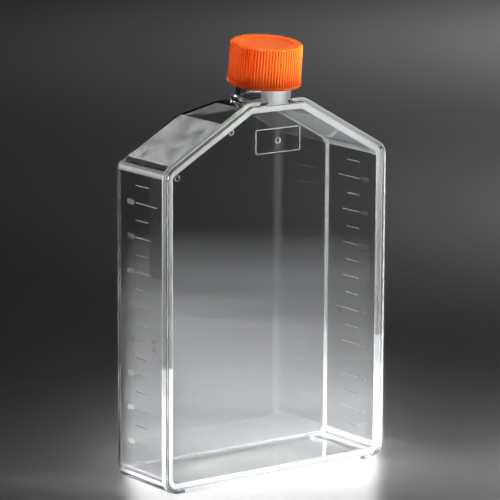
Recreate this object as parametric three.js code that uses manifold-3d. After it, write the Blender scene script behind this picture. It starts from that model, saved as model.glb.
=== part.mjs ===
// Cell culture flask: a clear moulded body with a welded cover plate, and a screw cap with a sealing disc.
// Millimetres. X runs across the flask, Y from the cover plate back to the growth wall, Z up the standing
// flask. While it is built, Y = 0 is the front face of the flange; the finished group is centred in Y.
import * as THREE from 'three';
import { mergeVertices } from 'three/addons/utils/BufferGeometryUtils.js';
import Module from 'manifold-3d';

const wasm = await Module();
wasm.setup();

// ---------------------------------------------------------------- driving dimensions

const CLEARANCE = 0.3; // gap between pieces that meet
const CORNER_STEPS = 3; // straight pieces in a rounded corner or edge

const flange = {
  width: 139.7, // across the straight sides
  shoulderHeight: 166.1, // where the sides turn into the shoulders
  topHeight: 195.9,
  topWidth: 34.3, // flat length at the top
  cornerRadius: 8.5,
  overhang: 2.4, // beyond the side walls, top wall and end panel
  thickness: 2.5, // front to back
};

const body = {
  depth: 47, // flange front face to the outside of the growth wall
  wall: 2.1,
  backRadius: 3.3, // rounds the growth wall into the side walls
  footWidth: 13.6, // strip under each side, from the flange's outer edge inwards
  footHeight: 2.4, // how far the end panel is raised off the ground between the feet
};

const ramp = {
  startHeight: 183.9, // where the growth wall turns forward
  topDepth: 29, // where the ramp meets the flat top wall
};

const neck = {
  depth: 13.2, // axis behind the flange's front face, at the top wall
  lean: THREE.MathUtils.degToRad(6), // towards the cover plate
  radius: 14.3,
  bore: 11.9,
  rimChamfer: 0.6,
  rootDepth: 4, // below the outside of the top wall
  collarRadius: 16.4,
  collarHeight: 1.2,
  collarTaper: 2.3,
  segments: 48,
};

const thread = {
  pitch: 4,
  turns: 1.5,
  rise: 1.2, // how far each ridge stands out
  rootWidth: 1.6,
  crestWidth: 0.7,
  belowRim: 3.4, // top end of the neck's ridge
  play: 0.4, // between a ridge's crest and the wall that it faces
  rootDepth: 0.3, // how far a ridge is sunk into its own wall
  segments: 40, // per turn
  runOut: 5, // segments over which an end runs out to the wall
  endRise: 0.06, // left at the very end
};

const cap = {
  base: 10, // lip above the top wall, along the neck
  height: 21.1,
  lipRadius: 18.95,
  lipHeight: 1.6,
  skirtRadius: 18.65, // rib tips above the lip
  topRadius: 18.4, // rib tips under the rounded edge
  edgeRadius: 1.3,
  topThickness: 1.8,
  ribs: 75,
  ribDepth: 0.5,
  recessRadius: 13,
  recessDepth: 0.5,
  beadRise: 0.5, // holds the sealing disc
  beadWidth: 0.8,
};

const liner = { thickness: 1.2 };

const plate = {
  thickness: 1.5,
  frameWidth: 28, // raised label frame
  frameHeight: 12.6,
  frameCentre: 175.6,
  frameRadius: 1.2,
  frameLine: 0.6,
  frameRise: 0.2,
};

const panel = {
  start: 5.7, // up the shoulder, from the body's shoulder corner
  length: 36.9,
  frontMargin: 2, // behind the flange
  backMargin: 4.9, // in front of the growth wall
  rise: 0.3,
};

const scale = {
  zeroHeight: 4.5,
  heightPerMark: 8.86, // one mark is 50 millilitres
  marks: 17,
  longMarks: [8, 16],
  depth: 18.4, // front end of the short marks, on the left wall
  shortLength: 10,
  middleLength: 13,
  longLength: 18.1,
  line: 0.55,
  rise: 0.2,
};

// ---------------------------------------------------------------- sizes that follow

const seatDepth = plate.thickness + CLEARANCE;
const topOuter = flange.topHeight - flange.overhang;
const sideOuter = flange.width / 2 - flange.overhang;
const capRadius = neck.radius + thread.rise + thread.play; // inside of the cap
const linerTop = cap.base + cap.height - cap.topThickness - CLEARANCE;
const linerBottom = linerTop - liner.thickness;
const neckHeight = linerBottom - CLEARANCE;
const linerRadius = capRadius - CLEARANCE;
const OVERRUN = 1; // how far a cutting solid passes the face that it cuts
const SAME_POINT = 1e-4; // vertices closer than this are one

// ---------------------------------------------------------------- solids

function toSolid(geometry) {
  geometry.deleteAttribute('normal');
  geometry.deleteAttribute('uv');
  const merged = mergeVertices(geometry, SAME_POINT);
  const index = merged.index.array;
  const triangles = [];
  for (let i = 0; i < index.length; i += 3) {
    const [a, b, c] = index.slice(i, i + 3);
    if (a !== b && b !== c && c !== a) triangles.push(a, b, c);
  }
  return new wasm.Manifold(new wasm.Mesh({
    numProp: 3,
    vertProperties: new Float32Array(merged.attributes.position.array),
    triVerts: new Uint32Array(triangles),
  }));
}

function toMesh(name, solid, look) {
  const { vertProperties, triVerts } = solid.getMesh();
  const geometry = new THREE.BufferGeometry();
  geometry.setAttribute('position', new THREE.BufferAttribute(vertProperties, 3));
  geometry.setIndex(new THREE.BufferAttribute(triVerts, 1));
  geometry.computeVertexNormals();
  const mesh = new THREE.Mesh(geometry, new THREE.MeshStandardMaterial(look));
  mesh.name = name;
  return mesh;
}

function block(low, high) {
  const size = high.clone().sub(low);
  const centre = high.clone().add(low).multiplyScalar(0.5);
  const geometry = new THREE.BoxGeometry(size.x, size.y, size.z);
  return toSolid(geometry.translate(centre.x, centre.y, centre.z));
}

// Extrudes an outline drawn in X and Z from nearY back to farY. A radius rounds the far edge, and the near
// edge too, so a rounded solid starts that much in front of where it is trimmed.
function extrudeDepth(shape, nearY, farY, radius = 0) {
  const geometry = new THREE.ExtrudeGeometry(shape, {
    depth: farY - nearY - 2 * radius,
    bevelEnabled: radius > 0,
    bevelThickness: radius,
    bevelSize: radius,
    bevelOffset: -radius,
    bevelSegments: CORNER_STEPS,
    curveSegments: CORNER_STEPS,
  });
  return toSolid(geometry.rotateX(Math.PI / 2).translate(0, farY - radius, 0));
}

// Turns a profile of [radius, height] points about Z.
function revolve(profile, segments) {
  const points = profile.map(([radius, height]) => new THREE.Vector2(radius, height));
  return new THREE.LatheGeometry(points, segments).rotateX(Math.PI / 2);
}

// Moves a geometry drawn about the neck's axis to the neck.
function onNeck(geometry) {
  return geometry.rotateX(neck.lean).translate(0, neck.depth, topOuter);
}

// ---------------------------------------------------------------- outlines

const flangeCorners = [
  [-flange.width / 2, 0],
  [flange.width / 2, 0],
  [flange.width / 2, flange.shoulderHeight],
  [flange.topWidth / 2, flange.topHeight],
  [-flange.topWidth / 2, flange.topHeight],
  [-flange.width / 2, flange.shoulderHeight],
].map(([x, z]) => new THREE.Vector2(x, z));

// Moves every edge of the flange's outline inwards by inset, and the bottom edge by its own amount.
function insetCorners(inset, bottomInset = inset) {
  const count = flangeCorners.length;
  const edges = flangeCorners.map((corner, i) => {
    const along = flangeCorners[(i + 1) % count].clone().sub(corner).normalize();
    const inwards = new THREE.Vector2(-along.y, along.x);
    const distance = i === 0 ? bottomInset : inset;
    return { point: corner.clone().addScaledVector(inwards, distance), along };
  });
  return edges.map((edge, i) => {
    const before = edges[(i + count - 1) % count];
    const gap = edge.point.clone().sub(before.point);
    const travel = gap.cross(edge.along) / before.along.cross(edge.along);
    return before.point.clone().addScaledVector(before.along, travel);
  });
}

function roundedShape(corners, radius) {
  const shape = new THREE.Shape();
  const count = corners.length;
  corners.forEach((corner, i) => {
    const arriving = corner.clone().sub(corners[(i + count - 1) % count]).normalize();
    const leaving = corners[(i + 1) % count].clone().sub(corner).normalize();
    const turn = Math.acos(arriving.dot(leaving));
    const start = corner.clone().addScaledVector(arriving, -radius * Math.tan(turn / 2));
    const centre = start.clone().add(new THREE.Vector2(-arriving.y, arriving.x).multiplyScalar(radius));
    const from = Math.atan2(start.y - centre.y, start.x - centre.x);
    if (i === 0) shape.moveTo(start.x, start.y);
    else shape.lineTo(start.x, start.y);
    shape.absarc(centre.x, centre.y, radius, from, from + turn, false);
  });
  shape.closePath();
  return shape;
}

function flangeShape(inset, bottomInset = inset) {
  return roundedShape(insetCorners(inset, bottomInset), flange.cornerRadius - inset);
}

function rectangle(width, height, centreZ, radius) {
  const [x, low, high] = [width / 2, centreZ - height / 2, centreZ + height / 2];
  const corners = [[-x, low], [x, low], [x, high], [-x, high]];
  return roundedShape(corners.map(([px, pz]) => new THREE.Vector2(px, pz)), radius);
}

// ---------------------------------------------------------------- flask body

// Everything behind the sloping plane that leads from the growth wall up to the neck, moved inwards by inset.
function behindRamp(inset) {
  const run = body.depth - ramp.topDepth;
  const rise = topOuter - ramp.startHeight;
  const slope = Math.atan2(rise, run);
  const reach = 2 * flange.width;
  const geometry = new THREE.BoxGeometry(reach, reach, reach).translate(0, 0, reach / 2 - inset);
  geometry.rotateX(-slope);
  return toSolid(geometry.translate(0, ramp.topDepth + run / 2, ramp.startHeight + rise / 2));
}

// Side walls, shoulders and growth wall as one solid, with the recess between the feet.
function makeShell() {
  const reach = body.depth + OVERRUN;
  const shape = flangeShape(flange.overhang, 0);
  const filled = extrudeDepth(shape, seatDepth - body.backRadius, body.depth, body.backRadius);
  const behindSeat = block(
    new THREE.Vector3(-flange.width, seatDepth, -OVERRUN),
    new THREE.Vector3(flange.width, reach, flange.topHeight),
  );
  const footEdge = flange.width / 2 - body.footWidth;
  const recess = block(
    new THREE.Vector3(-footEdge, flange.thickness, -OVERRUN),
    new THREE.Vector3(footEdge, reach, body.footHeight),
  );
  return filled.intersect(behindSeat).subtract(recess).subtract(behindRamp(0));
}

function makeCavity() {
  const shape = flangeShape(flange.overhang + body.wall, body.footHeight + body.wall);
  const radius = Math.max(body.backRadius - body.wall, 0);
  return extrudeDepth(shape, -OVERRUN, body.depth - body.wall, radius).subtract(behindRamp(body.wall));
}

// The ridge of a screw thread about Z: its middle starts at height start, and its ends run out to the wall.
// It is sunk slightly into the wall at radius, and stands out by rise, or inwards where rise is negative.
function threadRidge(radius, rise, start) {
  const steps = Math.round(thread.turns * thread.segments);
  const sunk = radius - Math.sign(rise) * thread.rootDepth;
  const positions = [];
  for (let step = 0; step <= steps; step += 1) {
    const angle = (step / thread.segments) * 2 * Math.PI;
    const middle = start + (step / thread.segments) * thread.pitch;
    const full = Math.min(step / thread.runOut, (steps - step) / thread.runOut, 1);
    const crest = radius + Math.sign(rise) * Math.max(Math.abs(rise) * full, thread.endRise);
    const section = [
      [sunk, -thread.rootWidth / 2], [crest, -thread.crestWidth / 2],
      [crest, thread.crestWidth / 2], [sunk, thread.rootWidth / 2],
    ];
    if (rise < 0) section.reverse();
    section.forEach(([r, h]) => positions.push(r * Math.cos(angle), r * Math.sin(angle), middle + h));
  }
  const index = [0, 1, 2, 0, 2, 3];
  for (let step = 0; step < steps; step += 1) {
    for (let side = 0; side < 4; side += 1) {
      const a = step * 4 + side;
      const b = step * 4 + ((side + 1) % 4);
      index.push(a, a + 4, b, b, a + 4, b + 4);
    }
  }
  const last = steps * 4;
  index.push(last, last + 2, last + 1, last, last + 3, last + 2);
  const geometry = new THREE.BufferGeometry();
  geometry.setAttribute('position', new THREE.Float32BufferAttribute(positions, 3));
  geometry.setIndex(index);
  return geometry;
}

const threadHeight = thread.turns * thread.pitch;
const neckThreadStart = neckHeight - thread.belowRim - threadHeight;

function makeNeck() {
  const root = -neck.rootDepth;
  const tube = revolve([
    [0, root], [neck.radius, root], [neck.radius, neckHeight - neck.rimChamfer],
    [neck.radius - neck.rimChamfer, neckHeight], [0, neckHeight],
  ], neck.segments);
  const collar = revolve([
    [0, root], [neck.collarRadius, root], [neck.collarRadius, neck.collarHeight],
    [neck.radius, neck.collarHeight + neck.collarTaper], [0, neck.collarHeight + neck.collarTaper],
  ], neck.segments);
  const behindFlangeFace = block(
    new THREE.Vector3(-flange.width, 0, 0),
    new THREE.Vector3(flange.width, body.depth, 2 * flange.topHeight),
  );
  const ridge = onNeck(threadRidge(neck.radius, thread.rise, neckThreadStart));
  return toSolid(onNeck(tube))
    .add(toSolid(onNeck(collar)).intersect(behindFlangeFace))
    .add(toSolid(ridge));
}

function makeBore() {
  const below = -neck.bore;
  return toSolid(onNeck(revolve([
    [0, below], [neck.bore, below], [neck.bore, neckHeight + OVERRUN], [0, neckHeight + OVERRUN],
  ], neck.segments)));
}

// A slightly raised matt panel on one shoulder, for writing on; side is -1 on the left, 1 on the right.
function makeWritingPanel(side) {
  const corners = insetCorners(flange.overhang);
  const [shoulder, top] = [corners[2], corners[3]];
  const slope = Math.atan2(top.y - shoulder.y, shoulder.x - top.x);
  const near = flange.thickness + panel.frontMargin;
  const far = body.depth - panel.backMargin;
  const thickness = panel.rise + body.wall / 2;
  const geometry = new THREE.BoxGeometry(panel.length, far - near, thickness)
    .translate(-panel.start - panel.length / 2, (near + far) / 2, panel.rise - thickness / 2)
    .rotateY(slope)
    .translate(shoulder.x, 0, shoulder.y);
  return toSolid(side > 0 ? geometry : turnAbout(geometry, near + far));
}

// Half a turn about the upright line halfway through the depth, which carries the right wall to the left.
function turnAbout(geometry, depthSum) {
  return geometry.rotateZ(Math.PI).translate(0, depthSum, 0);
}

// Raised volume marks. The right wall's are the left wall's after half a turn.
function makeScale() {
  const sunk = body.wall / 2;
  const marks = [];
  for (let mark = 1; mark <= scale.marks; mark += 1) {
    const long = scale.longMarks.includes(mark);
    const middle = mark % 2 === 0;
    const length = long ? scale.longLength : middle ? scale.middleLength : scale.shortLength;
    const far = scale.depth + scale.shortLength;
    const height = scale.zeroHeight + mark * scale.heightPerMark;
    for (const side of [-1, 1]) {
      const geometry = new THREE.BoxGeometry(sunk + scale.rise, length, scale.line)
        .translate(-sideOuter + (sunk - scale.rise) / 2, far - length / 2, height);
      marks.push(toSolid(side < 0 ? geometry : turnAbout(geometry, 2 * scale.depth + scale.shortLength)));
    }
  }
  return marks;
}

function makeFlaskBody() {
  const rim = extrudeDepth(flangeShape(0), 0, flange.thickness);
  const pocket = extrudeDepth(flangeShape(flange.overhang), -OVERRUN, seatDepth);
  const additions = [makeNeck(), makeWritingPanel(-1), makeWritingPanel(1), ...makeScale()];
  const filled = additions.reduce((solid, piece) => solid.add(piece), makeShell().add(rim));
  return filled.subtract(pocket).subtract(makeCavity()).subtract(makeBore());
}

// ---------------------------------------------------------------- cover plate

function makeCoverPlate() {
  const sheet = extrudeDepth(flangeShape(flange.overhang + CLEARANCE), 0, plate.thickness);
  const { frameWidth: width, frameHeight: height, frameCentre: centre, frameLine: line } = plate;
  const frame = rectangle(width, height, centre, plate.frameRadius);
  frame.holes.push(rectangle(width - 2 * line, height - 2 * line, centre, plate.frameRadius - line));
  return sheet.add(extrudeDepth(frame, -plate.frameRise, plate.thickness / 2));
}

// ---------------------------------------------------------------- cap and sealing disc

// The outside of the cap: a turned profile whose skirt rows are drawn in at every second point.
function makeCapOutside() {
  const shoulder = cap.height - cap.edgeRadius;
  const edge = cap.topRadius - cap.edgeRadius;
  const [cos, sin] = [Math.cos(Math.PI / 4), Math.sin(Math.PI / 4)];
  const profile = [
    [0, 0], [cap.lipRadius, 0], [cap.lipRadius, cap.lipHeight], [cap.skirtRadius, cap.lipHeight],
    [cap.topRadius, shoulder], [edge + cap.edgeRadius * cos, shoulder + cap.edgeRadius * sin],
    [edge, cap.height], [cap.recessRadius, cap.height],
    [cap.recessRadius - cap.recessDepth, cap.height - cap.recessDepth], [0, cap.height - cap.recessDepth],
  ];
  const ribbedRows = [3, 4];
  const geometry = revolve(profile, 2 * cap.ribs);
  const position = geometry.attributes.position;
  for (let i = 0; i < position.count; i += 1) {
    const row = i % profile.length;
    const column = Math.floor(i / profile.length);
    if (!ribbedRows.includes(row) || column % 2 === 0) continue;
    const [x, y] = [position.getX(i), position.getY(i)];
    const factor = 1 - cap.ribDepth / Math.hypot(x, y);
    position.setXY(i, x * factor, y * factor);
  }
  return geometry;
}

function makeScrewCap() {
  const ceiling = cap.height - cap.topThickness;
  const beadTop = linerBottom - cap.base - CLEARANCE;
  const hollow = revolve([
    [0, -OVERRUN], [capRadius, -OVERRUN], [capRadius, beadTop - cap.beadWidth],
    [capRadius - cap.beadRise, beadTop - cap.beadWidth / 2], [capRadius, beadTop],
    [capRadius, ceiling], [0, ceiling],
  ], neck.segments);
  const ridgeStart = neckThreadStart - cap.base - thread.pitch / 2;
  const ridge = threadRidge(capRadius, -thread.rise, ridgeStart);
  const raise = (geometry) => toSolid(onNeck(geometry.translate(0, 0, cap.base)));
  return raise(makeCapOutside()).subtract(raise(hollow)).add(raise(ridge));
}

function makeLiner() {
  return toSolid(onNeck(revolve([
    [0, linerBottom], [linerRadius, linerBottom], [linerRadius, linerTop], [0, linerTop],
  ], neck.segments)));
}

// ---------------------------------------------------------------- assembly

const clear = { color: 0xe9edf0, roughness: 0.06, metalness: 0, transparent: true, opacity: 0.35 };
const orange = { color: 0xee5a1e, roughness: 0.38, metalness: 0 };
const foam = { color: 0xf2efe6, roughness: 0.8, metalness: 0 };

const flask = new THREE.Group();
flask.add(
  toMesh('flask_body', makeFlaskBody(), clear),
  toMesh('cover_plate', makeCoverPlate(), clear),
  toMesh('cap_liner', makeLiner(), foam),
  toMesh('screw_cap', makeScrewCap(), orange),
);

const extent = new THREE.Box3().setFromObject(flask, true);
flask.position.y = -(extent.min.y + extent.max.y) / 2;
flask.updateMatrixWorld(true);

export default flask;
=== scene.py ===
"""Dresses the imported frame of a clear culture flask: its body, cover plate, moulded marks, cap and stage."""

import math

import bmesh
import bpy
from bpy.props import FloatProperty, FloatVectorProperty, IntProperty, PointerProperty
from mathutils import Matrix, Vector


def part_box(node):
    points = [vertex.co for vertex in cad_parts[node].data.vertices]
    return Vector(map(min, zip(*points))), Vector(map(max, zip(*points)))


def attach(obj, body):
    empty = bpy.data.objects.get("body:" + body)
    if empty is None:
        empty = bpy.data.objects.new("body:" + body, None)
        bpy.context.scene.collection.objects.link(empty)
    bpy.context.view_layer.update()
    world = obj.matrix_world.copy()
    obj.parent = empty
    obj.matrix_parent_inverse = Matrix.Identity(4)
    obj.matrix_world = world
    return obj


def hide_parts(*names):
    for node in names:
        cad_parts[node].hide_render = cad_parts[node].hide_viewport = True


bl_info = {
    "name": "Culture Flask",
    "version": (1, 0, 0),
    "blender": (4, 5, 0),
    "location": "View3D > Sidebar > Culture Flask",
    "description": "Builds a clear culture flask with an orange screw cap around its packed frame",
    "category": "Add Mesh",
}

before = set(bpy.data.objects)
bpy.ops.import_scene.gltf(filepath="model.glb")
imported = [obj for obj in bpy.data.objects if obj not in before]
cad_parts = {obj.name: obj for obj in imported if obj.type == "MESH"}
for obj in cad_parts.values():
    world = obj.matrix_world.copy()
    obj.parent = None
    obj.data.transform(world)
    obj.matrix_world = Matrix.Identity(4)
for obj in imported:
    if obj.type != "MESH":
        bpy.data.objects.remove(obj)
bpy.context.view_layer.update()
BODY_LOW, BODY_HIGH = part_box("flask_body")
PLATE_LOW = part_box("cover_plate")[0]
LABEL_RISE = 0.0002  # the raised label frame on the cover plate
FRONT = PLATE_LOW.y + LABEL_RISE  # the flange's front face

CORNER_STEPS = 10  # straight pieces in a rounded corner of the outline
SMALL_CORNER_STEPS = 4  # in a corner of a label, strip or panel
EDGE_STEPS = 3  # in a small rounded edge
ROUND_STEPS = 96  # round a turned piece
SMALLEST_CORNER = 0.0005  # radius of a corner that has been moved inwards past its own radius
STRIP_CORNER = 0.0008
PANEL_CORNER = 0.0007
OVERRUN = 0.001  # how far a cutting solid passes the face that it cuts
LIFT = 0.00001  # how far a thin raised piece starts off its face
PLAY = 0.00002  # tolerance when a face is told by its place, and the gap beside the weld's bead
POLYSTYRENE_IOR = 1.59
RING_PLACES = ((-0.062, 0.1624), (-0.029, 0.1823), (0.0, 0.1755), (0.062, 0.1632), (0.0641, 0.0858))  # X, Z
RING_STEPS = 24
MARK_VALUE = 50  # what one volume mark stands for
FIGURE_SHARE = 0.7  # a figure's height as a share of the font's size
WHITE = (1.0, 1.0, 1.0)
GREEN = (0.35, 1.0, 0.4)
PALE_GREEN = (0.7, 1.0, 0.6)


# ------------------------------------------------------------------------------------ settings


def length(name, description, default):
    """A length in metres."""
    return FloatProperty(
        name=name, description=description, default=default, precision=5, unit="LENGTH", subtype="DISTANCE"
    )


def angle(name, description, degrees):
    """An angle, given in degrees."""
    return FloatProperty(name=name, description=description, default=math.radians(degrees), subtype="ANGLE")


def colour(name, description, default):
    """A linear colour."""
    return FloatVectorProperty(
        name=name, description=description, default=default, size=3, min=0.0, max=1.0, subtype="COLOR"
    )


class FlaskSizes(bpy.types.PropertyGroup):
    """Sizes of the clear body and the plate that closes it."""

    width: length("Width", "Across the flange", BODY_HIGH.x - BODY_LOW.x)
    depth: length("Depth", "Flange front to growth wall", BODY_HIGH.y - FRONT)
    shoulder_height: length("Shoulder height", "Where the sides turn into the shoulders", 0.1661)
    top_height: length("Top height", "Top of the flange", 0.1959)
    top_width: length("Top width", "Flat length at the top of the flange", 0.0343)
    corner_radius: length("Corner radius", "Outline corners of the flange", 0.0085)
    overhang: length("Overhang", "Flange beyond the walls", 0.0024)
    flange_thickness: length("Flange thickness", "Front to back", 0.0025)
    wall: length("Wall", "Thickness of the walls", 0.0021)
    back_radius: length("Back radius", "Rounds the growth wall into the sides", 0.0033)
    edge_radius: length("Edge radius", "Rounds the flange's edges", 0.0004)
    fillet_radius: length("Fillet radius", "Between the flange and the walls", 0.0006)
    foot_width: length("Foot width", "Strip under each side", 0.0136)
    foot_height: length("Foot height", "Recess between the feet", 0.0024)
    ramp_height: length("Ramp height", "Where the growth wall turns forward", 0.1839)
    ramp_depth: length("Ramp depth", "Where the ramp meets the top wall", 0.029)
    plate_thickness: length("Plate thickness", "Cover plate without its raised frame", 0.0015)
    clearance: length("Clearance", "Between the cover plate and its seat", 0.0003)
    seam: length("Seam", "Bead that the weld has pushed inwards", 0.0011)


class NeckSizes(bpy.types.PropertyGroup):
    """Sizes of the neck, its collar and its thread."""

    depth: length("Depth", "Axis behind the flange face, at the top wall", 0.0132)
    lean: angle("Lean", "Towards the cover plate", 6.0)
    radius: length("Radius", "Outside of the neck", 0.0143)
    bore: length("Bore", "Radius of the bore", 0.0119)
    height: length("Height", "Along the neck, above the top wall", 0.0275)
    rim_radius: length("Rim radius", "Rounds the rim", 0.0006)
    collar_radius: length("Collar radius", "Flare at the foot of the neck", 0.0164)
    collar_height: length("Collar height", "Straight part of the flare", 0.0012)
    collar_taper: length("Collar taper", "Sloping part of the flare", 0.0023)
    root: length("Root", "Below the outside of the top wall", 0.004)
    pitch: length("Pitch", "Rise of the thread in one turn", 0.004)
    turns: FloatProperty(name="Turns", description="Turns of each thread ridge", default=1.5)
    ridge_rise: length("Ridge rise", "How far a thread ridge stands out", 0.0012)
    ridge_root: length("Ridge root", "Width of a ridge at its wall", 0.0016)
    ridge_crest: length("Ridge crest", "Width of a ridge at its crest", 0.0007)
    ridge_start: length("Ridge start", "Lower end of the neck's ridge, along the neck", 0.0181)


class CapSizes(bpy.types.PropertyGroup):
    """Sizes of the screw cap and the sealing disc, along the neck's axis."""

    base: length("Base", "Lip above the top wall", 0.01)
    height: length("Height", "Lip to top", 0.0211)
    lip_radius: length("Lip radius", "Smooth lip", 0.01895)
    lip_height: length("Lip height", "Smooth lip", 0.0016)
    skirt_radius: length("Skirt radius", "Rib tips above the lip", 0.01865)
    top_radius: length("Top radius", "Rib tips under the rounded edge", 0.0184)
    edge_radius: length("Edge radius", "Rounded top edge", 0.0013)
    rib_rise: length("Rib rise", "Ribs above the grooves", 0.0005)
    rib_width: length("Rib width", "Width of one rib", 0.00107)
    ribs: IntProperty(name="Ribs", description="Ribs round the skirt", default=75, min=3)
    recess_radius: length("Recess radius", "Round recess in the top", 0.013)
    recess_depth: length("Recess depth", "Round recess in the top", 0.0005)
    hollow_radius: length("Hollow radius", "Inside of the skirt", 0.0159)
    ceiling: length("Ceiling", "Thickness of the top", 0.0018)
    bead_rise: length("Bead rise", "Bead that holds the sealing disc", 0.0005)
    bead_width: length("Bead width", "Bead that holds the sealing disc", 0.0008)
    disc_radius: length("Disc radius", "Sealing disc", 0.0156)
    disc_thickness: length("Disc thickness", "Sealing disc", 0.0012)
    disc_play: length("Disc play", "Over and under the sealing disc", 0.0003)


class MarkSizes(bpy.types.PropertyGroup):
    """Sizes of the moulded volume marks, numbers and panels."""

    zero_height: length("Zero height", "Height of the zero mark", 0.0045)
    spacing: length("Spacing", "From one mark to the next", 0.00886)
    count: IntProperty(name="Count", description="Marks on each side wall", default=17, min=1)
    long_every: IntProperty(name="Long every", description="Every which mark is long", default=8, min=1)
    depth: length("Depth", "Front end of the short marks on the left wall", 0.0184)
    short: length("Short", "Length of a short mark", 0.01)
    middle: length("Middle", "Length of every second mark", 0.013)
    long: length("Long", "Length of a long mark", 0.0181)
    line: length("Line", "Width of a mark", 0.00055)
    rise: length("Rise", "How far marks stand out", 0.0002)
    number_depth: length("Number depth", "Front end of the numbers on the left wall", 0.03)
    number_height: length("Number height", "Height of the figures", 0.0026)
    pointer: length("Pointer", "Height of each pointer at the lower long mark", 0.0024)
    ring_radius: length("Ring radius", "Ejector rings on the cover plate", 0.0016)
    ring_line: length("Ring line", "Width of an ejector ring's ridge", 0.0004)
    label_width: length("Label width", "Raised frame on the cover plate", 0.028)
    label_height: length("Label height", "Raised frame on the cover plate", 0.0126)
    label_centre: length("Label centre", "Height of the frame's middle", 0.1756)
    label_radius: length("Label radius", "Corners of the frame", 0.0012)
    label_line: length("Label line", "Width of the frame's ridge", 0.0004)
    strip_front: length("Strip front", "Matt strip on the left wall, front edge", 0.0028)
    strip_back: length("Strip back", "Matt strip on the left wall, back edge", 0.0162)
    strip_low: length("Strip low", "Matt strip on the left wall, lower end", 0.1097)
    strip_high: length("Strip high", "Matt strip on the left wall, upper end", 0.161)
    film: length("Film", "How far the matt strip stands out", 0.0001)
    panel_start: length("Panel start", "Writing panel, up the shoulder from its corner", 0.0057)
    panel_length: length("Panel length", "Writing panel, along the shoulder", 0.0369)
    panel_front: length("Panel front", "Writing panel behind the flange", 0.002)
    panel_back: length("Panel back", "Writing panel in front of the growth wall", 0.0049)
    panel_rise: length("Panel rise", "How far the writing panel stands out", 0.0003)


class Finishes(bpy.types.PropertyGroup):
    """Colours of the three plastics and the stage."""

    clear: colour("Clear plastic", "Tint of the clear plastic", (0.965, 0.975, 0.98))
    frosted: colour("Frosted plastic", "Tint of the matt marks and panels", (0.86, 0.87, 0.88))
    orange: colour("Orange plastic", "Colour of the cap", (0.68, 0.062, 0.002))
    foam: colour("Foam", "Colour of the sealing disc", (0.86, 0.85, 0.8))
    floor: colour("Floor", "Colour of the floor", (0.72, 0.72, 0.73))
    surround: colour("Surround", "Light from all round, nearly black", (0.006, 0.006, 0.006))


class StageSizes(bpy.types.PropertyGroup):
    """Where the camera stands, and the floor's size."""

    azimuth: angle("Azimuth", "Camera's turn to the left of the front", 36.35)
    elevation: angle("Elevation", "Camera's height above level", 11.54)
    roll: angle("Roll", "Camera's turn about its own line of sight", -0.3)
    distance: length("Distance", "Camera to its aim", 1.828)
    aim: FloatVectorProperty(
        name="Aim", description="Middle of the view", default=(-0.0002, 0.0037, 0.1151), subtype="XYZ"
    )
    lens: FloatProperty(name="Lens", description="Focal length in millimetres", default=256.44)
    floor_size: length("Floor size", "Side of the square floor", 12.0)


class CultureFlask(bpy.types.PropertyGroup):
    """Everything that the operators read."""

    flask: PointerProperty(type=FlaskSizes)
    neck: PointerProperty(type=NeckSizes)
    cap: PointerProperty(type=CapSizes)
    marks: PointerProperty(type=MarkSizes)
    finishes: PointerProperty(type=Finishes)
    stage: PointerProperty(type=StageSizes)


def settings():
    """This scene's sizes and colours."""
    return bpy.context.scene.culture_flask


# ------------------------------------------------------------------------------------ mesh helpers


def quarter(steps=EDGE_STEPS):
    """(sine, cosine) pairs over a quarter turn."""
    turns = [math.pi / 2 * step / steps for step in range(steps + 1)]
    return [(math.sin(turn), math.cos(turn)) for turn in turns]


def bridge(bm, rows):
    """Quads between rows of vertices that close on themselves."""
    for near, far in zip(rows, rows[1:]):
        for i in range(len(near)):
            j = (i + 1) % len(near)
            bm.faces.new((near[i], near[j], far[j], far[i]))


def loft(rings, hoop=False):
    """A closed solid through rings of points, with a flat face at each end, or as a hoop that has no ends."""
    bm = bmesh.new()
    rows = [[bm.verts.new(point) for point in ring] for ring in rings]
    if hoop:
        bridge(bm, rows + rows[:1])
    else:
        bridge(bm, rows)
        bm.faces.new(rows[0])
        bm.faces.new(rows[-1])
    bmesh.ops.recalc_face_normals(bm, faces=bm.faces)
    return bm


def turned(profile, steps=ROUND_STEPS):
    """A solid turned about Z from (radius, height) points that start and end on the axis."""
    turns = [2 * math.pi * step / steps for step in range(steps)]
    bm = bmesh.new()
    rows = [
        [bm.verts.new((r * math.cos(turn), r * math.sin(turn), height)) for turn in turns]
        for r, height in profile[1:-1]
    ]
    bridge(bm, rows)
    for row, (_, height) in ((rows[0], profile[0]), (rows[-1], profile[-1])):
        pole = bm.verts.new((0, 0, height))
        for i in range(steps):
            bm.faces.new((pole, row[i], row[(i + 1) % steps]))
    bmesh.ops.recalc_face_normals(bm, faces=bm.faces)
    return bm


def cut_off(bm, point, normal):
    """Takes away what lies beyond a plane, on the side that its normal points to, and closes the cut."""
    geometry = bm.verts[:] + bm.edges[:] + bm.faces[:]
    cut = bmesh.ops.bisect_plane(bm, geom=geometry, plane_co=point, plane_no=normal, clear_outer=True)
    edges = [item for item in cut["geom_cut"] if isinstance(item, bmesh.types.BMEdge)]
    bmesh.ops.contextual_create(bm, geom=edges)
    bmesh.ops.recalc_face_normals(bm, faces=bm.faces)


def box_solid(low, high):
    """A closed box between two corners."""
    bm = bmesh.new()
    bmesh.ops.create_cube(bm, size=1.0)
    size = Vector(high) - Vector(low)
    middle = (Vector(high) + Vector(low)) / 2
    bm.transform(Matrix.Translation(middle) @ Matrix.Diagonal((*size, 1.0)))
    return bm


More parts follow.
